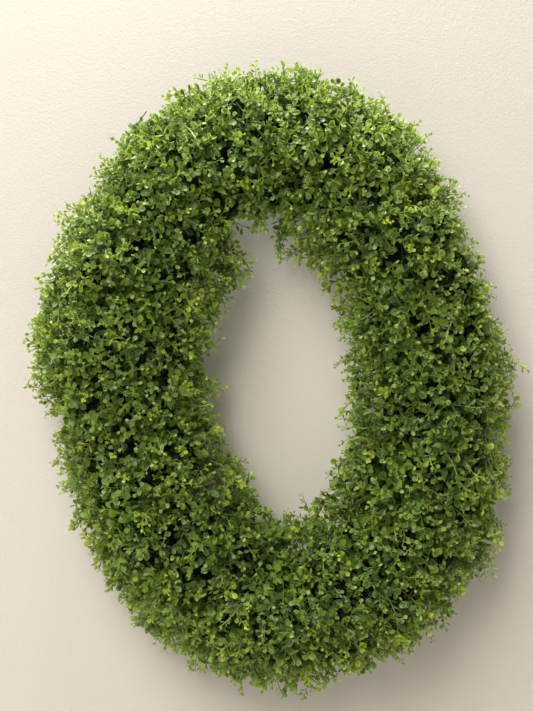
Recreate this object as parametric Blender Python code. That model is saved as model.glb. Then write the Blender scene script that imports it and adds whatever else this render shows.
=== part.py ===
"""Oval wreath of small round-leaved sedum sprigs, hanging as it does on a wall.

X runs to the right, Y into the wall and Z up. The origin is where a nail carries the wreath: under the top
of the outer ring of its wire frame. Two oval rings and the rungs between them are one welded frame. Round
it stand the bunches, 24 on the outer ring and 12 on the inner one. Each bunch is one solid: a binding round
the ring, a core of packed stems, and the sprigs that grow from it with their leaves in crossed pairs.
Leaves are larger than life, so that they cover the wreath as the many small ones do.
"""

import math
import random

import bmesh
import bpy
import numpy as np
from mathutils import Matrix, Vector

# The oval line that runs along the middle of the foliage, and how far the wreath hangs out of plumb.
MIDLINE_HALF_WIDTH = 0.182
MIDLINE_HALF_HEIGHT = 0.273
HANG_TILT = math.radians(5.6)

# How far foliage reaches from that line: outwards, into the hole, to the viewer and to the wall.
REACH_OUT = 0.102
REACH_IN = 0.094
REACH_FRONT = 0.096
REACH_BACK = 0.055

# Uneven spots of a wreath made by hand: angle round the oval and spread, in degrees, and extra reach.
UNEVEN_OUT = ((17, 12, -0.017), (63, 16, 0.004), (90, 16, -0.008), (112, 18, -0.009), (165, 10, 0.016),
              (196, 10, -0.009), (238, 7, -0.005), (270, 16, -0.010), (312, 16, 0.009))
UNEVEN_IN = ((33, 14, -0.006), (88, 16, -0.010), (146, 11, 0.017), (218, 10, 0.011), (298, 15, -0.013))

# The wire frame: a ring to each side of the midline, and rungs welded between them.
RING_OFFSET = 0.030
WIRE_RADIUS = 0.0015
RUNG_RADIUS = 0.00125
RUNG_COUNT = 8
WIRE_BEVEL_RESOLUTION = 1

# The bunches keep a gap to each other. The midline parts the outer ones from the inner ones, and the outer
# ones stay further from it, because their flat faces cut across its curve.
OUTER_BUNCHES = 24
INNER_BUNCHES = 12
GAP = 0.0003
MIDLINE_GAP_OUT = 0.0012
MIDLINE_SOFTNESS = 0.006
SIDE_FREE_SHARE = 0.43

# The binding that winds each bunch onto its ring, and the core of stems in front of it.
BINDING_LENGTH = 0.022
BINDING_RADIUS = 0.0065
BINDING_SIDES = 5
CHANNEL_SIDES = 4
CORE_OFFSET = 0.030
CORE_HALF_ACROSS = 0.029
CORE_HALF_DEPTH = 0.023
CORE_SHARE_ALONG = 0.54
CORE_BOXINESS = 0.6

# Rows of sprigs across the wreath: the angle from its edge round to its front, how far apart its sprigs
# stand outside and inside the midline, how long their leaves are, and how far their pairs are turned.
ROWS = ((-10, 0.076, 0.074, 0.036, 0), (30, 0.070, 0.070, 0.036, 0), (70, 0.066, 0.055, 0.038, 45))
SPACING_JITTER = 0.1
ROOT_SHARE_OF_CORE = 0.60
LEAF_LEAD = 0.010

# A sprig: its stem, two crossed pairs of leaves and a bud. Blades turn part of the way to the viewer.
STEM_THICKNESS = 0.0028
NODE_LENGTH = 0.0050
BUD_LENGTH = 0.006
LEAF_WIDTH_SHARE = 0.91
LEAF_THICKNESS = 0.0022
LEAF_CUP = 0.0028
WIDEST_SHARE = 0.58
TIP_ARC_SHARE = 0.92
TIP_ARC_WIDTH_SHARE = 0.29
LOWER_TILT = 90
UPPER_TILT = 58
TILT_JITTER = 8
ROLL_JITTER = 0.35
SIZE_JITTER = 0.1
FACING_FRONT = 0.9

SEED = 11
MERGE_DISTANCE = 0.000001
SMOOTH_ANGLE = math.radians(50)

FRONT = Vector((0, -1, 0))
LONG_AXIS = Vector((-math.sin(HANG_TILT), 0, math.cos(HANG_TILT)))
SHORT_AXIS = Vector((math.cos(HANG_TILT), 0, math.sin(HANG_TILT)))


def clear_scene():
    for item in list(bpy.data.objects):
        bpy.data.objects.remove(item, do_unlink=True)


def plain_material(name, colour, roughness, metallic=0.0):
    material = bpy.data.materials.new(name)
    material.use_nodes = True
    shader = material.node_tree.nodes["Principled BSDF"]
    shader.inputs["Base Color"].default_value = (*colour, 1.0)
    shader.inputs["Roughness"].default_value = roughness
    shader.inputs["Metallic"].default_value = metallic
    return material


def even_angles(samples=4096):
    """Ellipse angles, and the share of the midline's length at which each lies."""
    angles = np.linspace(0.0, 2 * math.pi, samples + 1)
    across = MIDLINE_HALF_WIDTH * np.diff(np.cos(angles))
    up = MIDLINE_HALF_HEIGHT * np.diff(np.sin(angles))
    lengths = np.concatenate([[0.0], np.cumsum(np.hypot(across, up))])
    return angles, lengths / lengths[-1]


ANGLES, LENGTH_SHARES = even_angles()


class Station:
    """A place on the midline: its point, the direction out of the oval and the direction along it."""

    def __init__(self, turn):
        self.angle = float(np.interp(turn % 1.0, LENGTH_SHARES, ANGLES))
        across, up = math.cos(self.angle), math.sin(self.angle)
        self.point = SHORT_AXIS * (MIDLINE_HALF_WIDTH * across) + LONG_AXIS * (MIDLINE_HALF_HEIGHT * up)
        outward = SHORT_AXIS * (across / MIDLINE_HALF_WIDTH) + LONG_AXIS * (up / MIDLINE_HALF_HEIGHT)
        self.out = outward.normalized()
        self.along = FRONT.cross(self.out).normalized()

    def at(self, outwards, forwards=0.0):
        return self.point + self.out * outwards + FRONT * forwards


def uneven(angle, spots):
    """Extra reach at an angle round the oval, from the spots where the foliage is fuller or thinner."""
    total = 0.0
    for middle, spread, amount in spots:
        apart = (math.degrees(angle) - middle + 180) % 360 - 180
        total += amount * math.exp(-0.5 * (apart / spread) ** 2)
    return total


def offset_from_midline(point):
    """Distance of a point outwards from the midline, exact close to the line, and the direction outwards."""
    across = point.dot(SHORT_AXIS) / MIDLINE_HALF_WIDTH
    up = point.dot(LONG_AXIS) / MIDLINE_HALF_HEIGHT
    level = math.hypot(across, up)
    slope = SHORT_AXIS * (across / MIDLINE_HALF_WIDTH) + LONG_AXIS * (up / MIDLINE_HALF_HEIGHT)
    return (level - 1.0) * level / slope.length, slope.normalized()


class Room:
    """The room of one bunch: between two cross-sections of the wreath, and outside or inside its midline."""

    def __init__(self, first_turn, last_turn, side):
        self.side = side
        self.first_turn = first_turn
        self.last_turn = last_turn
        self.start = Station(first_turn)
        self.middle = Station((first_turn + last_turn) / 2)
        self.end = Station(last_turn)

    def distances(self, point):
        after_start = (point - self.start.point).dot(self.start.along)
        before_end = (self.end.point - point).dot(self.end.along)
        return after_start, before_end

    def width(self, outwards):
        return sum(self.distances(self.middle.at(outwards)))

    def keep_off_midline(self, point):
        offset, outward = offset_from_midline(point)
        edge = MIDLINE_GAP_OUT if self.side > 0 else GAP / 2
        beyond = offset * self.side - edge - MIDLINE_SOFTNESS
        if beyond >= 0:
            return point
        bent = MIDLINE_SOFTNESS * (math.exp(beyond / MIDLINE_SOFTNESS) - 1)
        return point + outward * (self.side * (bent - beyond))

    def keep_in(self, point):
        """Bend a point into the room, more the further out it lies, so that no two points meet."""
        point = self.keep_off_midline(self.keep_off_midline(point))
        after_start, before_end = self.distances(point)
        room = after_start + before_end
        share = after_start / room - 0.5
        soft = 0.5 - GAP / room - SIDE_FREE_SHARE
        beyond = abs(share) - SIDE_FREE_SHARE
        if beyond <= 0:
            return point
        bent = SIDE_FREE_SHARE + soft * (1 - math.exp(-beyond / soft))
        wanted = (0.5 + math.copysign(bent, share)) * room
        slant = self.middle.along.dot(self.start.along)
        return point + self.middle.along * ((wanted - after_start) / slant)


def face_outwards(bm):
    bmesh.ops.recalc_face_normals(bm, faces=bm.faces)
    if bm.calc_volume(signed=True) < 0:
        bmesh.ops.reverse_faces(bm, faces=bm.faces)


def object_from(bm, name):
    mesh = bpy.data.meshes.new(name)
    bm.to_mesh(mesh)
    bm.free()
    made = bpy.data.objects.new(name, mesh)
    bpy.context.collection.objects.link(made)
    return made


def mesh_with_modifiers(item):
    graph = bpy.context.evaluated_depsgraph_get()
    return bpy.data.meshes.new_from_object(item.evaluated_get(graph))


def is_one_closed_body(mesh):
    """Whether every edge has two faces and all of them hang together."""
    bm = bmesh.new()
    bm.from_mesh(mesh)
    closed = all(len(edge.link_faces) == 2 for edge in bm.edges)
    reached = {bm.verts[:][0]}
    waiting = list(reached)
    while waiting:
        for edge in waiting.pop().link_edges:
            for vert in edge.verts:
                if vert not in reached:
                    reached.add(vert)
                    waiting.append(vert)
    whole = len(reached) == len(bm.verts)
    bm.free()
    return closed and whole


def fuse(body, others):
    """Join the other objects into the body by one union, apply it, and remove them."""
    group = bpy.data.collections.new(body.name + "_pieces")
    bpy.context.scene.collection.children.link(group)
    for other in others:
        bpy.context.collection.objects.unlink(other)
        group.objects.link(other)
    join = body.modifiers.new("join", "BOOLEAN")
    join.operation = "UNION"
    join.operand_type = "COLLECTION"
    join.collection = group
    for solver in ("EXACT", "MANIFOLD"):
        join.solver = solver
        mesh = mesh_with_modifiers(body)
        if is_one_closed_body(mesh):
            break
    body.modifiers.clear()
    body.data = mesh
    for other in others:
        bpy.data.objects.remove(other, do_unlink=True)
    bpy.data.collections.remove(group)


def cut(body, cutter):
    """Take the cutter's shape out of the body, apply that, and remove the cutter."""
    away = body.modifiers.new("cut", "BOOLEAN")
    away.operation = "DIFFERENCE"
    away.solver = "EXACT"
    away.object = cutter
    mesh = mesh_with_modifiers(body)
    body.modifiers.clear()
    body.data = mesh
    bpy.data.objects.remove(cutter, do_unlink=True)


def finish(item, centre, material):
    """Put a piece at its place round the wreath's centre, with its material and its smooth shading."""
    item.data.name = item.name
    item.data.transform(Matrix.Translation(centre))
    item.data.materials.clear()
    item.data.materials.append(material)
    item.data.shade_smooth()
    item.data.set_sharp_from_angle(angle=SMOOTH_ANGLE)


def wire(name, points, radius, closed):
    """A wire bent at its points, with straight stretches between them, as a closed solid."""
    curve = bpy.data.curves.new(name, "CURVE")
    curve.dimensions = "3D"
    curve.bevel_depth = radius
    curve.bevel_resolution = WIRE_BEVEL_RESOLUTION
    curve.use_fill_caps = not closed
    spline = curve.splines.new("POLY")
    spline.points.add(len(points) - 1)
    for spot, point in zip(spline.points, points):
        spot.co = (*point, 1.0)
    spline.use_cyclic_u = closed
    holder = bpy.data.objects.new(name, curve)
    bpy.context.collection.objects.link(holder)
    mesh = mesh_with_modifiers(holder)
    bpy.data.objects.remove(holder, do_unlink=True)
    made = bpy.data.objects.new(name, mesh)
    bpy.context.collection.objects.link(made)
    return made


def first_turn(side):
    """Where the first room starts. Inner rooms start at the middle of an outer one."""
    return 0.0 if side > 0 else 0.5 / OUTER_BUNCHES


def ring_points(side):
    """Bends of a ring. Each bunch is bound to the middle of every other straight stretch."""
    bunches = OUTER_BUNCHES if side > 0 else INNER_BUNCHES
    turns = [first_turn(side) + (index / 2 + 0.25) / bunches for index in range(2 * bunches)]
    return [Station(turn).at(side * RING_OFFSET) for turn in turns]


def on_ring(points, station):
    """The point of a ring in a station's cross-section."""
    for one, two in zip(points, points[1:] + points[:1]):
        before = (one - station.point).dot(station.along)
        after = (two - station.point).dot(station.along)
        near = (one - station.point).length < MIDLINE_HALF_WIDTH
        if near and before <= 0 < after:
            return one.lerp(two, before / (before - after))
    raise ValueError("no stretch of the ring crosses this station")


def make_wire_frame(centre, material):
    outer, inner = ring_points(1), ring_points(-1)
    pieces = [wire("inner_ring", inner, WIRE_RADIUS, True)]
    for index in range(RUNG_COUNT):
        station = Station(index / RUNG_COUNT)
        pieces.append(wire("rung", [on_ring(inner, station), on_ring(outer, station)], RUNG_RADIUS, False))
    frame = wire("wire_frame", outer, WIRE_RADIUS, True)
    fuse(frame, pieces)
    finish(frame, centre, material)


def make_core(room, rng):
    """The packed stems in the middle of a bunch, as a many-faced lump, with its heart and half sizes."""
    bm = bmesh.new()
    bmesh.ops.create_icosphere(bm, subdivisions=1, radius=1.0)
    bmesh.ops.transform(bm, matrix=Matrix.Rotation(rng.uniform(0, math.tau), 4, "Z"), verts=bm.verts)
    middle = room.middle
    heart = middle.at(room.side * CORE_OFFSET, CORE_HALF_DEPTH + WIRE_RADIUS + 2 * GAP)
    half_along = CORE_SHARE_ALONG * room.width(room.side * CORE_OFFSET)
    sizes = (half_along, CORE_HALF_ACROSS, CORE_HALF_DEPTH)
    for vert in bm.verts:
        along, out, front = (size * math.copysign(abs(value) ** CORE_BOXINESS, value)
                             for size, value in zip(sizes, vert.co))
        vert.co = room.keep_in(heart + middle.along * along + middle.out * out + FRONT * front)
    face_outwards(bm)
    return bm, heart, sizes


def make_prism(room, sides, radius, length):
    """A straight prism round the stretch of ring at the middle of a room."""
    quarter = (room.last_turn - room.first_turn) / 4
    ends = [Station(turn).at(room.side * RING_OFFSET) for turn in (room.first_turn + quarter,
                                                                   room.last_turn - quarter)]
    run = (ends[1] - ends[0]).normalized()
    bm = bmesh.new()
    bmesh.ops.create_cone(bm, cap_ends=True, segments=sides, radius1=radius, radius2=radius, depth=length)
    turned = Matrix((run.cross(FRONT), FRONT, run)).transposed().to_4x4()
    place = Matrix.Translation((ends[0] + ends[1]) / 2) @ turned
    bmesh.ops.transform(bm, matrix=place, verts=bm.verts)
    face_outwards(bm)
    return bm


def square_to(run, wanted):
    """The direction nearest to the wanted one that stands square to a run."""
    return (wanted - run * wanted.dot(run)).normalized()


def grow(bm, face, targets):
    """Extrude a four-sided face and put the corners of its end at the targets, in the same order."""
    end = bmesh.ops.extrude_discrete_faces(bm, faces=[face])["faces"][0]
    for vert, target in zip(end.verts, targets):
        vert.co = target
    return end


def grow_leaf(bm, wall, foot, stem, away, length, tilt):
    """A cupped round leaf out of a wall of the stem: a narrow stalk, a wide middle and a round tip."""
    run = (away * math.sin(tilt) + stem * math.cos(tilt)).normalized()
    stalk_up = square_to(run, stem)
    stalk_across = stalk_up.cross(run)
    up = square_to(run, stem + FRONT * FACING_FRONT)
    across = up.cross(run)
    width = length * LEAF_WIDTH_SHARE
    cup = up * LEAF_CUP
    wide = foot + run * (WIDEST_SHARE * length)
    near_tip = foot + run * (TIP_ARC_SHARE * length) + cup
    side = across * (width / 2)
    tip_side = across * (TIP_ARC_WIDTH_SHARE * width)
    wide_ring = (wide - side + cup, wide - up * LEAF_THICKNESS, wide + side + cup, wide)
    tip = foot + run * length + cup
    tip_ring = (near_tip - tip_side, tip, near_tip + tip_side, tip)
    shift = 0 if stalk_up.cross(up).dot(run) > 0 else 1
    order = []
    for vert in wall.verts:
        high = (vert.co - foot).dot(stalk_up) > 0
        right = (vert.co - foot).dot(stalk_across) > 0
        corner = (2 if high else 1) if right else (3 if high else 0)
        order.append((corner + shift) % 4)
    end = grow(bm, wall, [wide_ring[corner] for corner in order])
    grow(bm, end, [tip_ring[corner] for corner in order])


def make_sprig(room, root, tip, leaf_length, roll, rng):
    """A stem with two crossed pairs of leaves and a bud, grown face by face from one small box."""
    axis = (tip - root).normalized()
    side_one = axis.cross(rng.choice((room.middle.along, FRONT))).normalized()
    roll = math.radians(roll) + rng.uniform(-ROLL_JITTER, ROLL_JITTER)
    side_one = Matrix.Rotation(roll, 3, axis) @ side_one
    side_two = axis.cross(side_one)
    half = STEM_THICKNESS / 2
    bare_length = (tip - root).length - 2 * NODE_LENGTH
    bm = bmesh.new()
    bmesh.ops.create_cube(bm, size=2.0)
    end = max(bm.faces, key=lambda face: face.calc_center_median().z)
    for vert in bm.verts:
        level = bare_length if vert.co.z > 0 else 0.0
        vert.co = root + axis * level + (side_one * vert.co.x + side_two * vert.co.y) * half
    for pair_side, tilt in ((side_one, LOWER_TILT), (side_two, UPPER_TILT)):
        end = grow(bm, end, [vert.co + axis * NODE_LENGTH for vert in end.verts])
        middle = end.calc_center_median() - axis * (NODE_LENGTH / 2)
        for away in (pair_side, -pair_side):
            walls = [face for vert in end.verts for face in vert.link_faces]
            wall = max(walls, key=lambda face: (face.calc_center_median() - middle).dot(away))
            length = leaf_length * rng.uniform(1 - SIZE_JITTER, 1 + SIZE_JITTER)
            slope = math.radians(tilt + rng.uniform(-TILT_JITTER, TILT_JITTER))
            grow_leaf(bm, wall, middle + away * half, axis, away, length, slope)
    grow(bm, end, [tip + axis * BUD_LENGTH] * 4)
    bmesh.ops.remove_doubles(bm, verts=bm.verts, dist=MERGE_DISTANCE)
    bmesh.ops.triangulate(bm, faces=bm.faces, quad_method="SHORT_EDGE")
    for vert in bm.verts:
        vert.co = room.keep_in(vert.co)
    face_outwards(bm)
    return bm


def row_turns(side, offset, spacing, rng):
    """Where the sprigs of a row stand: evenly along it, or one to a bunch where that is nearly the same."""
    turns = np.linspace(0.0, 1.0, 721)
    points = [Station(turn).at(side * offset) for turn in turns]
    steps = [(two - one).length for one, two in zip(points, points[1:])]
    lengths = np.concatenate([[0.0], np.cumsum(steps)])
    count = round(lengths[-1] / spacing)
    bunches = OUTER_BUNCHES if side > 0 else INNER_BUNCHES
    one_each = abs(count - bunches) < bunches / 6
    found = []
    for index in range(bunches if one_each else count):
        place = index + 0.5 + rng.uniform(-SPACING_JITTER, SPACING_JITTER)
        if one_each:
            found.append(first_turn(side) + place / bunches)
        else:
            found.append(float(np.interp(place / count * lengths[-1], lengths, turns)))
    return found


def sprig_sites(side, rng):
    """The points of the wreath's surface that sprigs reach, with their turns, leaf lengths and rolls."""
    reach, spots = (REACH_OUT, UNEVEN_OUT) if side > 0 else (REACH_IN, UNEVEN_IN)
    found = []
    for degrees, outer_spacing, inner_spacing, leaf_length, roll in ROWS:
        slope = math.radians(degrees)
        spacing = outer_spacing if side > 0 else inner_spacing
        for turn in row_turns(side, reach * math.cos(slope), spacing, rng):
            station = Station(turn)
            across = (reach + uneven(station.angle, spots)) * math.cos(slope)
            forward = (REACH_FRONT if slope > 0 else REACH_BACK) * math.sin(slope)
            found.append((turn, station.at(side * across, forward), leaf_length, roll))
    return found


def root_in_core(room, heart, sizes, site):
    """Where a sprig starts: inside the core, on the way from its heart to the sprig's site."""
    run = (site - heart).normalized()
    sides = (room.middle.along, room.middle.out, FRONT)
    reach = 1 / math.sqrt(sum((run.dot(side) / size) ** 2 for side, size in zip(sides, sizes)))
    return heart + run * (ROOT_SHARE_OF_CORE * reach)


def make_bunch(name, room, sites, centre, material, rng):
    core, heart, sizes = make_core(room, rng)
    body = object_from(core, name)
    pieces = [object_from(make_prism(room, BINDING_SIDES, BINDING_RADIUS, BINDING_LENGTH), "binding")]
    for site, leaf_length, roll in sites:
        tip = site + (heart - site).normalized() * LEAF_LEAD
        root = root_in_core(room, heart, sizes, tip)
        pieces.append(object_from(make_sprig(room, root, tip, leaf_length, roll, rng), "sprig"))
    fuse(body, pieces)
    channel_radius = (WIRE_RADIUS + GAP) / math.cos(math.pi / CHANNEL_SIDES)
    cut(body, object_from(make_prism(room, CHANNEL_SIDES, channel_radius, 2 * BINDING_LENGTH), "channel"))
    finish(body, centre, material)


def make_bunches(side, count, word, centre, material, rng):
    sites = sprig_sites(side, rng)
    for index in range(count):
        start = first_turn(side) + index / count
        room = Room(start, start + 1 / count, side)
        own = [site for turn, *site in sites if (turn - start) % 1.0 < 1 / count]
        make_bunch(f"{word}_bunch_{index + 1:02d}", room, own, centre, material, rng)


def main():
    clear_scene()
    leaf_green = plain_material("leaf_green", (0.138, 0.195, 0.034), 0.5)
    wire_green = plain_material("wire_green", (0.02, 0.05, 0.018), 0.45)
    top = max(ring_points(1), key=lambda point: point.z)
    centre = Vector((0, 0, WIRE_RADIUS)) - top
    make_wire_frame(centre, wire_green)
    rng = random.Random(SEED)
    make_bunches(1, OUTER_BUNCHES, "outer", centre, leaf_green, rng)
    make_bunches(-1, INNER_BUNCHES, "inner", centre, leaf_green, rng)


main()
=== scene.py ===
# %% [markdown]
# # An oval sedum wreath
#
# The real wreath is a welded wire frame with dozens of leafy sprigs bound onto it, bunch by bunch.
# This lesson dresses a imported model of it. The model already has the frame and one coarse solid
# for each bunch, so every fine piece below takes the place of one of those solids.

# %% Load the frame and note its box
import math
import random

import bmesh
import bpy
import numpy as np
from mathutils import Matrix, Vector, noise


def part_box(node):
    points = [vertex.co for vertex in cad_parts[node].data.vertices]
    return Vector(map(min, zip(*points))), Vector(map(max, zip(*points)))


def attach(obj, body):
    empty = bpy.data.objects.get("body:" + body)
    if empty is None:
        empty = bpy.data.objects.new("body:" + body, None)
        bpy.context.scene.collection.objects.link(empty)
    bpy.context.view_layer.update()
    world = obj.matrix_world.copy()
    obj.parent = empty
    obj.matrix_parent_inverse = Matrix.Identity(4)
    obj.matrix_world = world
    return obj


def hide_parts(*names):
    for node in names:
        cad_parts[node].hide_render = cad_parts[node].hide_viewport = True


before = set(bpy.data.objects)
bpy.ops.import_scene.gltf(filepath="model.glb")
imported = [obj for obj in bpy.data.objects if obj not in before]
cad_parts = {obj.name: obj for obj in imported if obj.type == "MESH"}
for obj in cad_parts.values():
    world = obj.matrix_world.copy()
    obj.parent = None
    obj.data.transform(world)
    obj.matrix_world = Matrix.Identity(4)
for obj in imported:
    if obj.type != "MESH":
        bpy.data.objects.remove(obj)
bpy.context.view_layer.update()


def rounded(values, digits=3):
    """Numbers that are short enough to print."""
    return [round(value, digits) for value in values]


# %% [markdown]
# ## The oval
#
# On the real wreath everything follows the oval of the wire. Here it is placed from one line: the
# oval that runs along the middle of the foliage. Its centre is the middle of the wire frame's box.
# Steps along the line are measured by length and not by angle, because equal angles would crowd
# the sprigs at the ends of the oval.

# %% The oval's own sizes, in metres
MIDLINE_HALF_WIDTH = 0.182
MIDLINE_HALF_HEIGHT = 0.273
HANG_TILT = math.radians(5.6)
RING_OFFSET = 0.030
OUTER_BUNCHES = 24
INNER_BUNCHES = 12

FRONT = Vector((0, -1, 0))
LONG_AXIS = Vector((-math.sin(HANG_TILT), 0, math.cos(HANG_TILT)))
SHORT_AXIS = Vector((math.cos(HANG_TILT), 0, math.sin(HANG_TILT)))

low_corner, high_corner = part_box("wire_frame")
CENTRE = Vector(((low_corner.x + high_corner.x) / 2, 0, (low_corner.z + high_corner.z) / 2))
print("centre of the oval:", rounded(CENTRE, 4))

# %% A place on the oval
ellipse_angles = np.linspace(0, math.tau, 2049)
steps_across = MIDLINE_HALF_WIDTH * np.diff(np.cos(ellipse_angles))
steps_up = MIDLINE_HALF_HEIGHT * np.diff(np.sin(ellipse_angles))
length_so_far = np.concatenate([[0], np.cumsum(np.hypot(steps_across, steps_up))])
MIDLINE_LENGTH = float(length_so_far[-1])


class Station:
    """A place on the midline, with the directions out of the oval and along it."""

    def __init__(self, turn):
        length = turn % 1 * MIDLINE_LENGTH
        self.angle = float(np.interp(length, length_so_far, ellipse_angles))
        across, up = math.cos(self.angle), math.sin(self.angle)
        self.point = (CENTRE + SHORT_AXIS * (MIDLINE_HALF_WIDTH * across)
                      + LONG_AXIS * (MIDLINE_HALF_HEIGHT * up))
        self.out = (SHORT_AXIS * (across / MIDLINE_HALF_WIDTH)
                    + LONG_AXIS * (up / MIDLINE_HALF_HEIGHT)).normalized()
        self.along = FRONT.cross(self.out).normalized()

    def at(self, outwards, forwards=0):
        return self.point + self.out * outwards + FRONT * forwards


print("midline:", round(MIDLINE_LENGTH, 3), "m long")

# %% [markdown]
# ## The surface that the tips of the sprigs reach
#
# A cross-section of the foliage is nearly round to the front and flat to the wall. A wreath made
# by hand is never even, so the reach grows and shrinks at a few named spots. Each is given by its
# angle on the oval and its spread, both in degrees, and by its height in metres. One noise for the
# whole outline would be shorter to write, but it would not be this wreath's outline.

# %% How far the foliage reaches from the midline, and where it is uneven
REACH_OUT = 0.103
REACH_IN = 0.099
REACH_FRONT = 0.095
REACH_BACK = 0.022
UNEVEN_OUT = (
    (18, 14, -0.026), (38, 6, -0.010), (48, 6, -0.012), (58, 12, -0.003), (90, 18, -0.011),
    (112, 8, -0.005), (130, 8, -0.012), (157, 6, -0.004), (168, 7, 0.021), (180, 8, -0.014),
    (196, 10, -0.009), (204, 6, -0.010), (218, 6, 0.003), (228, 8, -0.008), (264, 5, -0.005),
    (276, 16, -0.013), (302, 8, -0.009), (314, 14, 0.010), (328, 9, -0.007), (343, 10, -0.014),
)
UNEVEN_IN = (
    (5, 6, -0.004), (33, 14, -0.008), (46, 5, 0.010), (79, 9, -0.024), (100, 8, -0.006),
    (118, 8, -0.026), (142, 11, 0.019), (163, 8, -0.005), (180, 8, -0.007), (202, 8, -0.004),
    (220, 10, 0.011), (255, 9, -0.005), (279, 8, -0.016), (298, 9, 0.013), (312, 13, -0.006),
    (330, 6, 0.007), (347, 6, 0.008), (357, 6, -0.005),
)


def uneven(angle, spots):
    total = 0
    for middle, spread, amount in spots:
        apart = (math.degrees(angle) - middle + 180) % 360 - 180
        total += amount * math.exp(-0.5 * (apart / spread) ** 2)
    return total


print("uneven spots:", len(UNEVEN_OUT), "outside and", len(UNEVEN_IN), "in the hole")

# %% A point of the surface
def surface(turn, section):
    """A point of the foliage's surface and the way out of it, at an angle round the section."""
    place = Station(turn)
    across, forwards = math.cos(section), math.sin(section)
    if across > 0:
        reach = REACH_OUT + uneven(place.angle, UNEVEN_OUT)
    else:
        reach = REACH_IN + uneven(place.angle, UNEVEN_IN)
    depth = REACH_FRONT if forwards > 0 else REACH_BACK
    outward = (place.out * (across / reach) + FRONT * (forwards / depth)).normalized()
    return place.at(reach * across, depth * forwards), outward


print("outside at the top:", rounded(surface(0.25, 0)[0]))

# %% [markdown]
# ## Tufts
#
# Sprigs bound in bunches stand in tufts, with dark clefts between them. A slow noise raises and
# sinks the tips as whole tufts, and a finer one breaks the tufts up.

# %% How far a tuft stands out
TUFT_HEIGHT = 0.018
TUFT_SIZE = 0.045
FINE_TUFT_HEIGHT = 0.012
FINE_TUFT_SIZE = 0.018


def tuft(point):
    return (TUFT_HEIGHT * noise.noise(point / TUFT_SIZE)
            + FINE_TUFT_HEIGHT * noise.noise(point / FINE_TUFT_SIZE))


print("tuft at the centre:", round(tuft(CENTRE), 4), "m")

# %% [markdown]
# ## Shader arithmetic
#
# Materials are easier to read as sums than as a web of nodes. The first class below wraps one
# socket, so that an expression on sockets adds the Math nodes by itself. The second one holds a
# material, and makes any other node from its type, its settings and its inputs. Colours and
# vectors keep their own kinds of node.

# %% A socket that can be added, multiplied and raised
class Socket:
    """One output of a node, which takes part in Python arithmetic."""

    def __init__(self, finish, output):
        self.finish = finish
        self.output = output

    def combine(self, operation, first, second):
        return self.finish.node("ShaderNodeMath", {"operation": operation}, {0: first, 1: second})

    def __add__(self, other):
        return self.combine("ADD", self, other)

    def __radd__(self, other):
        return self.combine("ADD", other, self)

    def __sub__(self, other):
        return self.combine("SUBTRACT", self, other)

    def __rsub__(self, other):
        return self.combine("SUBTRACT", other, self)

    def __mul__(self, other):
        return self.combine("MULTIPLY", self, other)

    def __rmul__(self, other):
        return self.combine("MULTIPLY", other, self)

    def __pow__(self, other):
        return self.combine("POWER", self, other)


print("sockets take part in sums")

# %% A finish in the making
MIX_SHARE, MIX_FIRST, MIX_SECOND, MIX_COLOUR = 0, 6, 7, 2


class Finish:
    """A material, its Principled shader, and one method for any other node."""

    def __init__(self, name, roughness, specular=0.5):
        self.material = bpy.data.materials.new(name)
        self.material.use_nodes = True
        self.tree = self.material.node_tree
        self.shader = self.tree.nodes["Principled BSDF"]
        self.surface(roughness=roughness, specular_ior_level=specular)

    def put(self, socket, value):
        if isinstance(value, Socket):
            self.tree.links.new(value.output, socket)
        else:
            socket.default_value = value

    def node(self, kind, settings=None, inputs=None, output=0):
        made = self.tree.nodes.new(kind)
        for name, value in (settings or {}).items():
            setattr(made, name, value)
        for name, value in (inputs or {}).items():
            self.put(made.inputs[name], value)
        return Socket(self, made.outputs[output])

    def attribute(self, name):
        return self.node("ShaderNodeAttribute", {"attribute_name": name}, output="Fac")

    def mottle(self, scale, detail=3):
        place = self.node("ShaderNodeTexCoord", output="Object")
        inputs = {"Vector": place, "Scale": scale, "Detail": detail}
        return self.node("ShaderNodeTexNoise", {}, inputs, "Fac")

    def blend(self, share, first, second):
        inputs = {MIX_SHARE: share, MIX_FIRST: first, MIX_SECOND: second}
        return self.node("ShaderNodeMix", {"data_type": "RGBA"}, inputs, MIX_COLOUR)

    def clamp(self, value):
        return self.node("ShaderNodeClamp", {}, {"Value": value})

    def bump(self, height, distance):
        inputs = {"Height": height, "Distance": distance, "Strength": 1.0}
        return self.node("ShaderNodeBump", {}, inputs)

    def surface(self, **inputs):
        for name, value in inputs.items():
            word = name.replace("_", " ").title().replace("Ior", "IOR")
            self.put(self.shader.inputs[word], value)
        return self.material


print("finishes can be made")

# %% [markdown]
# ## The leaf finish
#
# Each leaf carries three numbers of its own: how young it is, a lot that grows from the foot of
# the sprig to its tip, and how near a point lies to its rim. The lot is partly the leaves' age
# and partly painted light and shade: low leaves are a deep green that darkens towards black as
# painted shade deep in the foliage, and the top pairs a fresh one, brightest at the tip. The young
# sprigs are yellow-green, and every rim is a little paler, a painted highlight. Patches of cooler
# and warmer green run over whole tufts. A picture of leaves could colour them too, but numbers on
# the points stay sharp at any distance. Such leaves are thin soft sheets, so some light passes
# into them.

# %% Make the leaf finish
# The deep green is partly the low leaves' age and partly painted shade deep in the foliage.
OLD_AND_SHADED_GREEN = (0.006, 0.026, 0.002, 1)
COOL_GREEN = (0.090, 0.230, 0.018, 1)
WARM_GREEN = (0.205, 0.345, 0.009, 1)
SPECKLE_GREEN = (0.24, 0.36, 0.03, 1)
TIP_GREEN = (0.37, 0.63, 0.10, 1)
YOUNG_GREEN = (0.41, 0.57, 0.010, 1)
RIM_HIGHLIGHT_GREEN = (0.33, 0.53, 0.07, 1)


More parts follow.
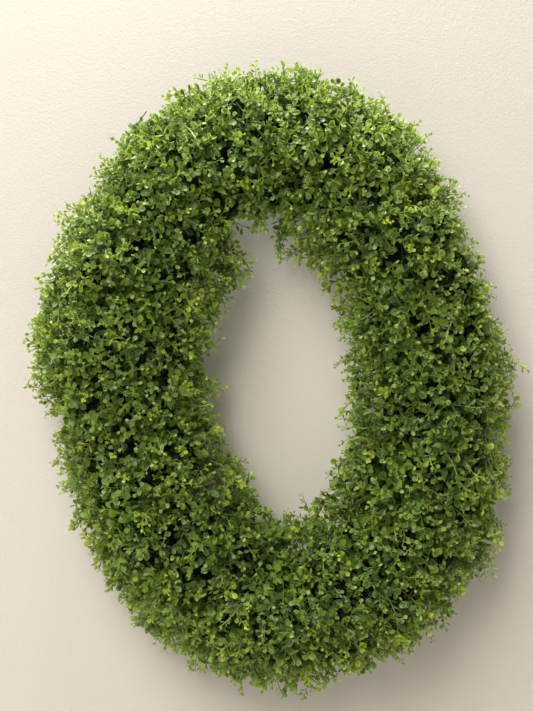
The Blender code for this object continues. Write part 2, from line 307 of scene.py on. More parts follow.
def make_leaf_finish():
    finish = Finish("sedum_leaf", 0.4, 0.7)
    lot = finish.attribute("lot")
    youth = finish.attribute("youth")
    rim = finish.attribute("rim")
    fine = finish.mottle(260)
    patches = finish.mottle(22, 2)
    light = finish.blend(finish.clamp(patches * 3.6 - 1.3), COOL_GREEN, WARM_GREEN)
    light = finish.blend(finish.clamp(fine - 0.35), light, SPECKLE_GREEN)
    # Painted light and shade by the lot: tip leaves brighten, low leaves darken to near black.
    light = finish.blend(lot ** 5, light, TIP_GREEN)
    aged_and_shaded = finish.blend(lot ** 1.3, OLD_AND_SHADED_GREEN, light)
    whole = finish.blend(youth, aged_and_shaded, YOUNG_GREEN)
    # Painted highlight: the rim of every leaf is paler.
    rim_highlight = finish.blend(0.5, whole, RIM_HIGHLIGHT_GREEN)
    colour = finish.blend(rim ** 3 * 0.60, whole, rim_highlight)
    finish.surface(subsurface_weight=0.4, subsurface_radius=(0.7, 1.0, 0.25),
                   subsurface_scale=0.002)
    return finish.surface(base_color=colour, roughness=0.34 + fine * 0.26)


LEAF_FINISH = make_leaf_finish()
print("made", LEAF_FINISH.name)

# %% [markdown]
# ## The stem, core and wire finishes
#
# Stems are dark at the root and light between the upper leaves, which the same lot tells; the
# dark root is painted shade deep in the bunch. The core is a tangle of packed stems and leaves in
# deep shade, so its colour is painted shade that jumps between two dark greens, and its bump is
# rough. The wire has a green lacquer that ran a little.

# %% Make the stem finish
# The dark root green is painted shade where the stem lies deep in the bunch.
SHADED_ROOT_GREEN = (0.030, 0.070, 0.010, 1)
STEM_GREEN = (0.130, 0.250, 0.040, 1)
PALE_STEM_GREEN = (0.330, 0.470, 0.110, 1)
YOUNG_STEM_GREEN = (0.30, 0.42, 0.02, 1)


def make_stem_finish():
    finish = Finish("sedum_stem", 0.45)
    light = finish.blend(finish.mottle(180), STEM_GREEN, PALE_STEM_GREEN)
    light = finish.blend(finish.attribute("youth"), light, YOUNG_STEM_GREEN)
    return finish.surface(base_color=finish.blend(finish.attribute("lot"), SHADED_ROOT_GREEN, light))


STEM_FINISH = make_stem_finish()
print("made", STEM_FINISH.name)

# %% Make the core finish
SHADE_GREEN = (0.004, 0.010, 0.002, 1)
PACKED_GREEN = (0.052, 0.100, 0.018, 1)


def make_core_finish():
    finish = Finish("packed_stems", 0.9, 0.1)
    tangle = finish.mottle(150, 6)
    colour = finish.blend(finish.clamp(tangle * 4 - 1.7), SHADE_GREEN, PACKED_GREEN)
    return finish.surface(base_color=colour, normal=finish.bump(tangle, 0.004))


CORE_FINISH = make_core_finish()
print("made", CORE_FINISH.name)

# %% Make the wire's lacquer
THICK_LACQUER = (0.012, 0.038, 0.012, 1)
THIN_LACQUER = (0.030, 0.070, 0.025, 1)


def make_lacquer():
    finish = Finish("green_lacquer", 0.4)
    runs = finish.mottle(300)
    colour = finish.blend(runs, THICK_LACQUER, THIN_LACQUER)
    return finish.surface(base_color=colour, roughness=0.30 + runs * 0.25)


LACQUER = make_lacquer()
print("made", LACQUER.name)

# %% [markdown]
# ## One leaf
#
# A sedum leaf is a spoon: a short stalk and a round, shallow bowl. It could be an extruded
# outline, but then each leaf would cost a hundred faces, and the wreath has tens of thousands of
# leaves. A sphere of only two rows is a ring of points with a pole above and a pole below. With
# the ring bent to the spoon's outline and both poles pressed down into the bowl, it is a closed
# leaf of twenty faces.

# %% The leaf's sizes, one unit long, from its foot at the origin along +X
LEAF_RIM_POINTS = 10
BLADE_MIDDLE = 0.63
BLADE_HALF_LENGTH = 0.37
BLADE_HALF_WIDTH = 0.32
STALK_HALF_WIDTH = 0.07
STALK_END = 0.27
BOWL_DEPTH = 0.15
BLADE_THICKNESS = 0.040
TIP_DROOP = 0.10
RING_FOOT = -0.95
RING_STALK = -0.5


def shape_rim(along, across):
    """Where a point of the round ring lies on the spoon's outline."""
    if along < RING_FOOT:
        return 0, 0, 0
    if along < RING_STALK:
        return STALK_END, math.copysign(STALK_HALF_WIDTH, across), 0
    along = BLADE_MIDDLE + BLADE_HALF_LENGTH * along
    return along, BLADE_HALF_WIDTH * across, -TIP_DROOP * along ** 2


print("the blade is", 2 * BLADE_HALF_WIDTH, "of the leaf's length wide")

# %% Shape the leaf
def shape_leaf():
    bm = bmesh.new()
    bmesh.ops.create_uvsphere(bm, u_segments=LEAF_RIM_POINTS, v_segments=2, radius=1)
    rim = bm.verts.layers.float.new("rim")
    for vert in bm.verts:
        if abs(vert.co.z) > 0.5:
            under = BLADE_THICKNESS if vert.co.z < 0 else 0
            vert.co = (BLADE_MIDDLE, 0, -BOWL_DEPTH - under)
        else:
            vert[rim] = 1
            vert.co = shape_rim(vert.co.x, vert.co.y)
    bmesh.ops.recalc_face_normals(bm, faces=bm.faces)
    mesh = bpy.data.meshes.new("leaf_pattern")
    bm.to_mesh(mesh)
    bm.free()
    return mesh


LEAF = shape_leaf()
print("leaf:", len(LEAF.polygons), "faces")

# %% [markdown]
# ## Rods
#
# Stems, rings, rungs and the binding wire are all round rods through a row of points. A curve
# with a bevel makes such rods too, but it joins badly with a bmesh of leaves. So a circle is
# extruded from point to point and turned with the run. At the end it is capped, or bridged to its
# start for a ring.

# %% Sweep a rod through points
STEM_SLOT = 1
CORE_SLOT = 2
WIRE_SLOT = 3


def turned_to(direction):
    """The matrix that turns the +Z axis to a direction."""
    return direction.to_track_quat("Z", "Y").to_matrix().to_4x4()


def give_slot(verts, slot):
    for face in {face for vert in verts for face in vert.link_faces}:
        face.material_index = slot


def tangents_of(points, ring):
    onwards = points[1:] + (points[:1] if ring else [points[-1] * 2 - points[-2]])
    runs = [(after - before).normalized() for before, after in zip(points, onwards)]
    before = [runs[-1] if ring else runs[0]] + runs[:-1]
    return [(one + two).normalized() for one, two in zip(before, runs)]


def sweep(bm, points, radius, sides, slot, ring=False):
    tangents = tangents_of(points, ring)
    start = Matrix.Translation(points[0]) @ turned_to(tangents[0])
    made = bmesh.ops.create_circle(bm, segments=sides, radius=radius, matrix=start)
    every_vert = list(made["verts"])
    edges = list({edge for vert in every_vert for edge in vert.link_edges})
    first_edges = edges
    for here, there, facing, to_face in zip(points, points[1:], tangents, tangents[1:]):
        made = bmesh.ops.extrude_edge_only(bm, edges=edges)["geom"]
        verts = [item for item in made if isinstance(item, bmesh.types.BMVert)]
        edges = [item for item in made if isinstance(item, bmesh.types.BMEdge)
                 and all(vert in verts for vert in item.verts)]
        turned = facing.rotation_difference(to_face).to_matrix().to_4x4()
        moved = Matrix.Translation(there) @ turned @ Matrix.Translation(-here)
        bmesh.ops.transform(bm, matrix=moved, verts=verts)
        every_vert += verts
    if ring:
        bmesh.ops.bridge_loops(bm, edges=edges + first_edges)
    else:
        bmesh.ops.holes_fill(bm, edges=edges + first_edges)
    give_slot(every_vert, slot)


print("rods can be swept")

# %% Copy a finished pattern into a bmesh
def add_copy(bm, mesh, matrix):
    """Add a mesh's copy at a place, and return the points that it added."""
    before = len(bm.verts)
    bm.from_mesh(mesh)
    bm.verts.ensure_lookup_table()
    added = bm.verts[before:]
    bmesh.ops.transform(bm, matrix=matrix, verts=added)
    return added


print("patterns can be copied")

# %% [markdown]
# ## Sprigs
#
# A sprig is a thin bent stem with its leaves in pairs, each pair crossing the one below. The
# pairs crowd towards the tip, where the leaves are small. Every sprig could be grown for itself,
# but nine full sprigs, four yellow-green young ones and six leggy ones are enough, because each
# copy is turned, leaned and sized anew. The leggy kind has smaller leaves and a side twig on every
# other one: it crosses the surface and makes the stray ends that stand out of the wreath.

# %% Grow a sprig with its tip at the origin and its root below
STEM_RADIUS = 0.0006
STEM_SIDES = 3
STEM_YOUTH = 0.6
BENDS = (0.4, 1)
SWAYS = (-0.3, 0.3)
LOWEST_RAISE = 28
RAISE_TO_TIP = 38
RAISE_SPREAD = 17
CROSSING_SPREAD = 0.25
LEAF_ROLL_SPREAD = 0.4
LEAF_SIZES = (0.78, 1.15)
LOT_BY_CHANCE = 0.35
YOUTH_AT_FOOT = 0.2
YOUTH_TO_TIP = 1.4
TWIG_ANGLE = math.radians(48)
TWIG_REACH = Vector((0, 0, 0.022))


def grow_sprig(name, seed, bare_stem, heights, leaf_lengths, young_share, most_bend, twig=None):
    rng = random.Random(seed)
    bm = bmesh.new()
    _, youth, lot = (bm.verts.layers.float.new(word) for word in ("rim", "youth", "lot"))
    height = heights[-1]
    turned = Matrix.Rotation(rng.uniform(0, math.tau), 3, "Z")
    bend = turned @ Vector((rng.uniform(*BENDS) * most_bend, 0, 0))
    sway = turned @ Vector((0, rng.uniform(*SWAYS) * most_bend, 0))

    def stem_point(level):
        share = (level + bare_stem) / (height + bare_stem)
        return (bend * (share ** 2 - 1) + sway * math.sin(math.tau * share)
                + Vector((0, 0, level - height)))

    stem = [stem_point(level) for level in (-bare_stem, *heights)]
    sweep(bm, stem, STEM_RADIUS, STEM_SIDES, STEM_SLOT)
    for vert in bm.verts:
        vert[youth] = STEM_YOUTH * young_share
        # The stem's lot is 0 at the root, which the stem finish paints dark as shade, and 1 at the
        # tip.
        vert[lot] = max(0, 1 + vert.co.z / height)
    for pair, (level, length) in enumerate(zip(heights, leaf_lengths)):
        share = pair / (len(heights) - 1)
        crossing = pair * math.pi / 2 + rng.gauss(0, CROSSING_SPREAD)
        for side in (0, math.pi):
            raised = LOWEST_RAISE + RAISE_TO_TIP * share ** 2 + rng.gauss(0, RAISE_SPREAD)
            size = length * rng.uniform(*LEAF_SIZES)
            place = (Matrix.Translation(stem_point(level))
                     @ Matrix.Rotation(crossing + side, 4, "Z")
                     @ Matrix.Rotation(-math.radians(raised), 4, "Y")
                     @ Matrix.Rotation(rng.gauss(0, LEAF_ROLL_SPREAD), 4, "X"))
            # The lot rises towards the tip: partly age, partly painted shade on the low leaves.
            leaf_lot = LOT_BY_CHANCE * rng.random() + (1 - LOT_BY_CHANCE) * share
            for vert in add_copy(bm, LEAF, place @ Matrix.Scale(size, 4)):
                vert[lot] = leaf_lot
                vert[youth] = young_share * min(1, YOUTH_AT_FOOT + YOUTH_TO_TIP * share)
    if twig:
        fork = Matrix.Translation(stem_point(heights[1]))
        turned = Matrix.Rotation(rng.uniform(0, math.tau), 4, "Z")
        leaned = Matrix.Rotation(TWIG_ANGLE, 4, "Y")
        add_copy(bm, twig, fork @ (turned @ leaned) @ Matrix.Translation(TWIG_REACH))
    bmesh.ops.recalc_face_normals(bm, faces=bm.faces)
    mesh = bpy.data.meshes.new(name)
    bm.to_mesh(mesh)
    bm.free()
    return mesh


print("sprigs can be grown")

# %% Grow the full and the young sprigs
FULL_HEIGHTS = (0.001, 0.010, 0.0185, 0.0265, 0.0335, 0.0385)
FULL_LEAVES = (0.0122, 0.0129, 0.0125, 0.0115, 0.0096, 0.0069)
YOUNG_HEIGHTS = (0.003, 0.011, 0.018, 0.024, 0.029, 0.0325)
YOUNG_LEAVES = (0.0096, 0.0102, 0.0098, 0.0088, 0.0074, 0.0055)

FULL_SPRIGS = [
    grow_sprig(f"full_sprig_{index}", index, 0.018, FULL_HEIGHTS, FULL_LEAVES,
               young_share=0.08 * (index % 4), most_bend=0.020)
    for index in range(9)
]
YOUNG_SPRIGS = [
    grow_sprig(f"young_sprig_{index}", 20 + index, 0.012, YOUNG_HEIGHTS, YOUNG_LEAVES,
               young_share=0.6 + 0.13 * index, most_bend=0.018)
    for index in range(4)
]
print("faces of a full sprig:", len(FULL_SPRIGS[0].polygons))

# %% Grow the leggy sprigs, with a twig on every other one
LEGGY_HEIGHTS = (0.002, 0.011, 0.0195, 0.027, 0.0335, 0.0385)
LEGGY_LEAVES = (0.0109, 0.0108, 0.0101, 0.0090, 0.0077, 0.0057)
TWIG_HEIGHTS = (0.004, 0.013, 0.020)
TWIG_LEAVES = (0.0080, 0.0070, 0.0050)

TWIG = grow_sprig("twig", 40, 0.010, TWIG_HEIGHTS, TWIG_LEAVES, young_share=0.15, most_bend=0.006)
LEGGY_SPRIGS = [
    grow_sprig(f"leggy_sprig_{index}", 50 + index, 0.011, LEGGY_HEIGHTS, LEGGY_LEAVES,
               young_share=0.04 + 0.08 * index, most_bend=0.024, twig=TWIG if index % 2 else None)
    for index in range(6)
]
print("faces of a leggy sprig:", [len(pattern.polygons) for pattern in LEGGY_SPRIGS])

# %% [markdown]
# ## Where the sprigs go
#
# Sprigs thrown at random leave bald spots and clumps. A sequence that steps by a fixed irrational
# share spreads points evenly instead. Here it steps over the area of the surface, measured on a
# grid, so that the outside of the oval gets more sprigs than the inside. The side to the wall gets
# few, because there the frame shows.

# %% Measure the surface on a grid and share it out
GRID_TURNS = 180
GRID_SECTIONS = 72
BACK_SHARE = 0.16
BACK_STARTS = 0.25


def share_of_sprigs(section):
    facing_back = max(0, -math.sin(section) - BACK_STARTS) / (1 - BACK_STARTS)
    return 1 - (1 - BACK_SHARE) * min(1, 2 * facing_back)


grid = np.array([[surface(column / GRID_TURNS, math.tau * row / GRID_SECTIONS)[0]
                  for column in range(GRID_TURNS + 1)]
                 for row in range(GRID_SECTIONS + 1)])
side_one = grid[:-1, 1:] - grid[:-1, :-1]
side_two = grid[1:, :-1] - grid[:-1, :-1]
areas = np.linalg.norm(np.cross(side_one, side_two), axis=2)
weights = areas * np.array([[share_of_sprigs(math.tau * (row + 0.5) / GRID_SECTIONS)]
                            for row in range(GRID_SECTIONS)])
section_shares = np.concatenate([[0], np.cumsum(weights.sum(axis=1))]) / weights.sum()
print("surface:", round(float(areas.sum()), 3), "square metres")

# %% Spread the sites evenly over it
STEP_ROUND = 0.7548776662466927
STEP_ALONG = 0.5698402909980532


def spread_site(index):
    """The turn and the section angle of one of the evenly spread sites."""
    round_share = (0.5 + index * STEP_ROUND) % 1
    along_share = (0.5 + index * STEP_ALONG) % 1
    section = float(np.interp(round_share, section_shares, np.arange(GRID_SECTIONS + 1)))
    row = weights[min(int(section), GRID_SECTIONS - 1)]
    turn_shares = np.concatenate([[0], np.cumsum(row)]) / row.sum()
    turn = float(np.interp(along_share, turn_shares, np.arange(GRID_TURNS + 1)))
    return turn / GRID_TURNS, math.tau * section / GRID_SECTIONS


print("first site:", rounded(spread_site(0)))

# %% [markdown]
# ## How a sprig is put in
#
# A hand pushes each sprig in so that it points out of the wreath, leans its own way and droops a
# little under its weight. A sprig that would reach into the wall, or whose root would lie bare, is
# leaned anew. Each sprig draws from its own seed, so that a change at one spot leaves the others
# as they are.

# %% Lean a sprig
DROOP = Vector((0, 0, -0.35))
LEAST_STANDING = 0.50
HEART_FORWARDS = 0.026
TIP_LIMIT = 0.033
SPRIG_SIZES = (0.78, 1.20)


def lean_sprig(turn, section, lift, lean, rng):
    """The matrix that puts a sprig's tip near the surface, leaning from the way straight out."""
    point, outward = surface(turn, section)
    side = 1 if math.cos(section) > 0 else -1
    heart = Station(turn).at(side * RING_OFFSET, HEART_FORWARDS)
    away = (point - heart).normalized()
    stray = Vector((rng.gauss(0, 1), rng.gauss(0, 1), rng.gauss(0, 1))) * lean
    aim = (outward + away + stray + DROOP).normalized()
    aim = (aim + outward * max(0, LEAST_STANDING - aim.dot(outward))).normalized()
    tip = point + outward * (tuft(point) + lift)
    tip.y = min(tip.y, TIP_LIMIT)
    roll = Matrix.Rotation(rng.uniform(0, math.tau), 4, "Z")
    size = Matrix.Scale(rng.uniform(*SPRIG_SIZES), 4)
    return Matrix.Translation(tip) @ turned_to(aim) @ roll @ size


print("droop against the way straight out:", round(-DROOP.z, 2))

# %% Place a sprig in its bunch
FOREMOST = -0.119
BACKMOST = 0.0455
LEAST_ROOT_DEPTH = 0.020
MOST_TRIES = 12
INNER_START = 0.5 / OUTER_BUNCHES

sprigs = {name: [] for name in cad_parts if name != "wire_frame"}
pattern_points = {mesh.name: np.array([(*vert.co, 1) for vert in mesh.vertices])
                  for mesh in FULL_SPRIGS + YOUNG_SPRIGS + LEGGY_SPRIGS}


def bunch_of(turn, section):
    """The name of the solid that a sprig belongs to."""
    if math.cos(section) > 0:
        return f"outer_bunch_{int(turn % 1 * OUTER_BUNCHES) + 1:02d}"
    return f"inner_bunch_{int((turn - INNER_START) % 1 * INNER_BUNCHES) + 1:02d}"


def place_sprig(pattern, turn, section, lift, lean, rng):
    """Lean a sprig until it keeps clear of the wall and holds its root in, or give up."""
    for _ in range(MOST_TRIES):
        matrix = lean_sprig(turn, section, lift, lean, rng)
        depths = pattern_points[pattern.name] @ np.array(matrix)[1]
        root = min(pattern.vertices, key=lambda vert: vert.co.z).co
        root_depth = (matrix.translation - matrix @ root).dot(surface(turn, section)[1])
        clear = FOREMOST < depths.min() and depths.max() < BACKMOST
        if clear and root_depth > LEAST_ROOT_DEPTH:
            sprigs[bunch_of(turn, section)].append((pattern, matrix))
            return


print("bunches to fill:", len(sprigs))

# %% [markdown]
# ## Put in all the sprigs
#
# Most sites get a full sprig. About a fifth get a leggy one, and the young ones stand in small
# flocks, where a noise makes them likelier. Each kind has its patterns, the least and the most
# that its tips are lifted, and its lean. At the end the strays go in, mostly round the outside and
# some in the hole, with their tips lifted out of the surface.

# %% Choose the kind, the lift and the lean of every sprig
SPRIG_COUNT = 2850
LEGGY_SHARE = 0.20
YOUNG_SHARE = 0.05
YOUNG_FLOCKING = 3.0
YOUNG_FLOCK_SIZE = 0.045
LEGGY = (LEGGY_SPRIGS, (-0.002, 0.006), 0.60)
YOUNG = (YOUNG_SPRIGS, (-0.001, 0.005), 0.60)
FULL = (FULL_SPRIGS, (-0.016, 0.002), 0.85)

for index in range(SPRIG_COUNT):
    placing = random.Random(index)
    turn, section = spread_site(index)
    drawn = placing.random()
    flock = noise.noise(surface(turn, section)[0] / YOUNG_FLOCK_SIZE)
    if drawn < LEGGY_SHARE:
        patterns, lifts, lean = LEGGY
    elif drawn > 1 - YOUNG_SHARE * (1 + YOUNG_FLOCKING * flock):
        patterns, lifts, lean = YOUNG
    else:
        patterns, lifts, lean = FULL
    pattern, lift = placing.choice(patterns), placing.uniform(*lifts)
    place_sprig(pattern, turn, section, lift, lean, placing)
print("sprigs:", sum(map(len, sprigs.values())))

# %% Add the strays
STRAY_COUNT = 260
STRAY_OUTSIDE_SHARE = 0.72
STRAY_SPREAD = 0.45
STRAY_LIFTS = (0.003, 0.016)
STRAY_LEAN = 0.4

for index in range(STRAY_COUNT):
    placing = random.Random(SPRIG_COUNT + index)
    turn = placing.random()
    section = placing.gauss(0, STRAY_SPREAD)
    section += 0 if placing.random() < STRAY_OUTSIDE_SHARE else math.pi
    lift = placing.uniform(*STRAY_LIFTS)
    place_sprig(placing.choice(LEGGY_SPRIGS), turn, section, lift, STRAY_LEAN, placing)
print("sprigs with the strays:", sum(map(len, sprigs.values())), "with",
      min(map(len, sprigs.values())), "to", max(map(len, sprigs.values())), "in a bunch")

# %% [markdown]
# ## The core of a bunch
#
# Behind the outer leaves a real bunch is packed with stems and hidden leaves, too many to model.
# A rather boxy ball with a lumpy surface stands in for them and hides the way through the wreath.
# A round ball would leave light gaps between one bunch and the next.

# %% Build a core
CORE_HALF_ACROSS = 0.036
CORE_HALF_DEPTH = 0.027
CORE_OVERLAP = 0.55
OUTER_CORE_EXTRA = 0.1
CORE_BOXINESS = 0.7
CORE_LUMPS = 0.005
CORE_LUMP_SIZE = 0.012


def add_core(bm, place, side, bunches):
    verts = bmesh.ops.create_icosphere(bm, subdivisions=3, radius=1)["verts"]
    half_along = CORE_OVERLAP * MIDLINE_LENGTH / bunches * (1 + side * OUTER_CORE_EXTRA)
    heart = place.at(side * RING_OFFSET, HEART_FORWARDS)
    for vert in verts:
        along, out, front = (math.copysign(abs(value) ** CORE_BOXINESS, value)
                             for value in vert.co)
        spot = heart + place.along * (along * half_along) + place.out * (out * CORE_HALF_ACROSS)
        spot += FRONT * (front * CORE_HALF_DEPTH)
        lump = CORE_LUMPS * noise.noise(spot / CORE_LUMP_SIZE)
        vert.co = spot + (spot - heart).normalized() * lump
    give_slot(verts, CORE_SLOT)


print("a core is", 2 * CORE_HALF_ACROSS, "m across")

# %% [markdown]
# ## The binding of a bunch
#
# The stem ends of a bunch lie along the ring and thin wire is wound over them. It shows from
# behind only, so six stem ends that flare at both sides and six turns of wire are enough.

# %% Build a binding
BINDING_LENGTH = 0.030
BOUND_STEMS = 6
BOUND_STEM_RADIUS = 0.0013
BOUND_STEM_OFFSET = 0.0031
BOUND_STEM_FLARE = 0.8
BOUND_STEM_HALVES = (0.42, 0.6)
BOUND_STEM_SPINS = (-0.2, 0.2)
BOUND_STEM_STEPS = (-1, -0.3, 0.4, 1)
WINDING_RADIUS = 0.0050
WINDING_WIRE = 0.0005
WINDING_TURNS = 6
WINDING_STEPS = 10
WINDING_SHARE = 0.6


def way_round(place, spin):
    """The direction out of the ring's wire at an angle round it."""
    return place.out * math.cos(spin) + FRONT * math.sin(spin)


def add_binding(bm, place, side, rng):
    """Stem ends along the ring, and the wire that winds them onto it."""
    middle = place.at(side * RING_OFFSET)
    for index in range(BOUND_STEMS):
        spin = math.tau * index / BOUND_STEMS + rng.uniform(*BOUND_STEM_SPINS)
        way = way_round(place, spin)
        half = BINDING_LENGTH * rng.uniform(*BOUND_STEM_HALVES)
        flare = way * BOUND_STEM_OFFSET * BOUND_STEM_FLARE
        points = [middle + way * BOUND_STEM_OFFSET + place.along * (half * step)
                  + flare * step ** 2 for step in BOUND_STEM_STEPS]
        sweep(bm, points, BOUND_STEM_RADIUS, 5, STEM_SLOT)
    points = []
    for index in range(WINDING_TURNS * WINDING_STEPS + 1):
        way = way_round(place, math.tau * index / WINDING_STEPS)
        share = index / (WINDING_TURNS * WINDING_STEPS) - 0.5
        points.append(middle + way * WINDING_RADIUS
                      + place.along * (share * BINDING_LENGTH * WINDING_SHARE))
    sweep(bm, points, WINDING_WIRE, 4, WIRE_SLOT)


print("a binding is wound", WINDING_TURNS, "times")

# %% [markdown]
# ## The bunches
#
# Each bunch is one mesh of its core, its binding and its share of the sprigs, which are copied
# from the patterns above. Objects that share one mesh would be lighter still, but a bunch that
# replaces a solid is one piece. Even the largest stays under forty thousand triangles.

# %% Turn a bmesh into a piece
SHARP_ANGLE = math.radians(60)


def make_piece(name, bm, node):
    """Make a piece that takes the place of a solid, and count its triangles."""
    mesh = bpy.data.meshes.new(name)
    bm.to_mesh(mesh)
    bm.free()
    for finish in (LEAF_FINISH, STEM_FINISH, CORE_FINISH, LACQUER):
        mesh.materials.append(finish)
    mesh.shade_smooth()
    mesh.set_sharp_from_angle(angle=SHARP_ANGLE)
    piece = bpy.data.objects.new(name, mesh)
    bpy.context.scene.collection.objects.link(piece)
    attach(piece, "root")
    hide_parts(node)
    return sum(len(face.vertices) - 2 for face in mesh.polygons)


print("edges are sharp past", round(math.degrees(SHARP_ANGLE)), "degrees")

# %% Build the bunches
BUNCH_ROWS = ((1, OUTER_BUNCHES, "outer", 0), (-1, INNER_BUNCHES, "inner", INNER_START))


def make_bunch(name, place, side, bunches, rng):
    bm = bmesh.new()
    for layer in ("rim", "youth", "lot"):
        bm.verts.layers.float.new(layer)
    add_core(bm, place, side, bunches)
    add_binding(bm, place, side, rng)
    bmesh.ops.recalc_face_normals(bm, faces=bm.faces)
    for pattern, matrix in sprigs[name]:
        add_copy(bm, pattern, matrix)
    return make_piece("leafy_" + name, bm, name)


binding_lots = random.Random(9)
counts = []
for side, bunches, word, start in BUNCH_ROWS:
    for index in range(bunches):
        name = f"{word}_bunch_{index + 1:02d}"
        place = Station(start + (index + 0.5) / bunches)
        counts.append(make_bunch(name, place, side, bunches, binding_lots))
print("foliage:", sum(counts), "triangles, the largest bunch", max(counts))

# %% [markdown]
# ## The wire frame
#
# The frame is two oval rings of drawn wire, with rungs welded between them and a small bead at
# each weld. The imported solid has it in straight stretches, so here the same rings are swept again
# with many more bends.

# %% Sweep the frame
WIRE_RADIUS = 0.0015
RUNG_RADIUS = 0.00125
BEAD_RADIUS = 0.0026
BEAD_SHAPE = Matrix.Diagonal((0.85, 0.85, 1.3, 1))
RUNG_COUNT = 8
RING_POINTS = 160


def make_wire_frame():
    bm = bmesh.new()
    for side in (1, -1):
        points = [Station(index / RING_POINTS).at(side * RING_OFFSET)
                  for index in range(RING_POINTS)]
        sweep(bm, points, WIRE_RADIUS, 10, WIRE_SLOT, ring=True)
    for index in range(RUNG_COUNT):
        place = Station(index / RUNG_COUNT)
        ends = [place.at(side * RING_OFFSET) for side in (-1, 1)]
        sweep(bm, ends, RUNG_RADIUS, 8, WIRE_SLOT)
        for end in ends:
            stretch = Matrix.Translation(end) @ turned_to(place.along) @ BEAD_SHAPE
            bead = bmesh.ops.create_icosphere(bm, subdivisions=2, radius=BEAD_RADIUS,
                                              matrix=stretch)
            give_slot(bead["verts"], WIRE_SLOT)
    bmesh.ops.recalc_face_normals(bm, faces=bm.faces)
    return make_piece("welded_frame", bm, "wire_frame")


print("wire frame:", make_wire_frame(), "triangles")

# %% [markdown]
# ## Wall and floor
#
# The wreath hangs on a pale painted wall above a plain floor. Each is a sheet of one face with a
# grain in its paint. The wall is drawn on its room side only and casts no shadow, so that the back
# of the wreath can be looked at.

# %% Paint
WHITE = (1, 1, 1, 1)
PAINT_GRAIN = 400
GRAIN_CONTRAST = 0.06
GRAIN_HEIGHT = 0.0003


def make_paint(name, colour, one_sided):
    finish = Finish(name, 0.9, 0.2)
    grain = finish.mottle(PAINT_GRAIN)
    made = finish.surface(base_color=finish.blend(grain * GRAIN_CONTRAST, colour, WHITE),
                          normal=finish.bump(grain, GRAIN_HEIGHT))
    if one_sided:
        behind = finish.node("ShaderNodeNewGeometry", output="Backfacing")
        clear = finish.node("ShaderNodeBsdfTransparent")
        shown = finish.node("ShaderNodeMixShader", {}, {0: behind, 2: clear})
        finish.tree.links.new(finish.shader.outputs[0], shown.output.node.inputs[1])
        drawn = finish.tree.nodes["Material Output"].inputs["Surface"]
        finish.tree.links.new(shown.output, drawn)
    return made


WALL_PAINT = make_paint("wall_paint", (0.752, 0.702, 0.632, 1), True)
FLOOR_PAINT = make_paint("floor_paint", (0.60, 0.58, 0.55, 1), False)
print("made", WALL_PAINT.name, "and", FLOOR_PAINT.name)

# %% The wall and the floor
WALL_Y = 0.0485
FLOOR_Z = -1.25
STAGE_HALF = 3.0


def add_sheet(name, finish, corner_one, corner_two, normal):
    bm = bmesh.new()
    bmesh.ops.create_grid(bm, x_segments=1, y_segments=1, size=0.5)
    middle = (Vector(corner_one) + Vector(corner_two)) / 2
    spans = [abs(one - two) for one, two in zip(corner_one, corner_two)]
    size = Matrix.Diagonal((spans[0], max(spans[1], spans[2]), 1, 1))
    moved = Matrix.Translation(middle) @ turned_to(Vector(normal)) @ size
    bmesh.ops.transform(bm, matrix=moved, verts=bm.verts)
    mesh = bpy.data.meshes.new(name)
    bm.to_mesh(mesh)
    bm.free()
    mesh.materials.append(finish)
    sheet = bpy.data.objects.new(name, mesh)
    bpy.context.scene.collection.objects.link(sheet)
    return sheet


wall = add_sheet("wall", WALL_PAINT, (-STAGE_HALF, WALL_Y, FLOOR_Z),
                 (STAGE_HALF, WALL_Y, STAGE_HALF), (0, -1, 0))
wall.visible_shadow = False
add_sheet("floor", FLOOR_PAINT, (-STAGE_HALF, -STAGE_HALF, FLOOR_Z),
          (STAGE_HALF, STAGE_HALF, FLOOR_Z), (0, 0, 1))
print("wall at", WALL_Y, "and floor at", FLOOR_Z)

# %% [markdown]
# ## Light
#
# A wide ceiling lamp in front, high up and a little to the left, throws the soft shadow into the
# hole and below the wreath. A weak, warm room lamp fills it in. A cooler lamp near the wall, high
# above the wreath, brightens the upper leaves and gives them their whitish gloss. The last lamp
# stands behind the wall, for the back of the wreath.

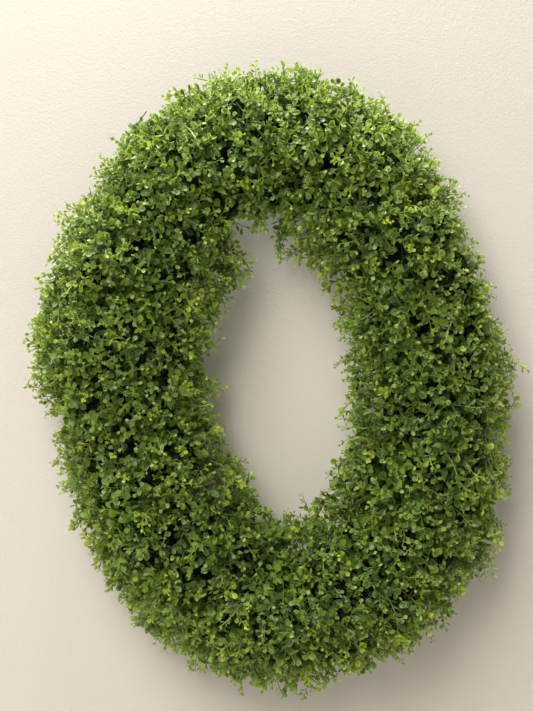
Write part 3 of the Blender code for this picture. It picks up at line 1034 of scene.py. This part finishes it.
# %% The lamps and the light of the room
LAMPS = (
    ("ceiling_lamp", (-1.35, -2.7, 2.6), 2.8, 138, (1.0, 0.975, 0.93)),
    ("room_lamp", (-0.80, -2.4, 0.55), 1.2, 15, (1.0, 0.940, 0.86)),
    ("downlight", (-0.28, -0.11, 1.35), 0.28, 32, (0.96, 0.985, 1.0)),
    ("back_lamp", (0.7, 2.6, 0.9), 2.6, 38, (1.0, 0.975, 0.93)),
)
ROOM_COLOUR = (1.0, 0.965, 0.91, 1)
ROOM_STRENGTH = 0.15

for name, place, size, power, colour in LAMPS:
    light = bpy.data.lights.new(name, "AREA")
    light.shape = "DISK"
    light.size = size
    light.energy = power
    light.color = colour
    lamp = bpy.data.objects.new(name, light)
    lamp.location = place
    lamp.rotation_euler = (CENTRE - Vector(place)).to_track_quat("-Z", "Y").to_euler()
    bpy.context.scene.collection.objects.link(lamp)

world = bpy.data.worlds.new("room")
world.use_nodes = True
background = world.node_tree.nodes["Background"]
background.inputs["Color"].default_value = ROOM_COLOUR
background.inputs["Strength"].default_value = ROOM_STRENGTH
bpy.context.scene.world = world
bpy.context.scene.view_settings.view_transform = "Standard"
print("lamps:", len(LAMPS))

# %% [markdown]
# ## The camera
#
# The wreath is seen square on, from twice an arm's length. The oval's centre is a little right of
# and below the middle of the picture, so the camera is moved and not turned.

# %% Place the camera
METRES_PER_PIXEL = 0.001205
PICTURE_HEIGHT = 711
CAMERA_DISTANCE = 1.55
RIGHT_OF_MIDDLE = 13 * METRES_PER_PIXEL
BELOW_MIDDLE = 21.9 * METRES_PER_PIXEL

lens = bpy.data.cameras.new("camera")
lens.sensor_width = 36
lens.lens = lens.sensor_width * CAMERA_DISTANCE / (PICTURE_HEIGHT * METRES_PER_PIXEL)
camera = bpy.data.objects.new("camera", lens)
camera.location = CENTRE + Vector((-RIGHT_OF_MIDDLE, -CAMERA_DISTANCE, BELOW_MIDDLE))
camera.rotation_euler = (math.pi / 2, 0, 0)
bpy.context.scene.collection.objects.link(camera)
bpy.context.scene.camera = camera
print("lens:", round(lens.lens, 1), "mm")
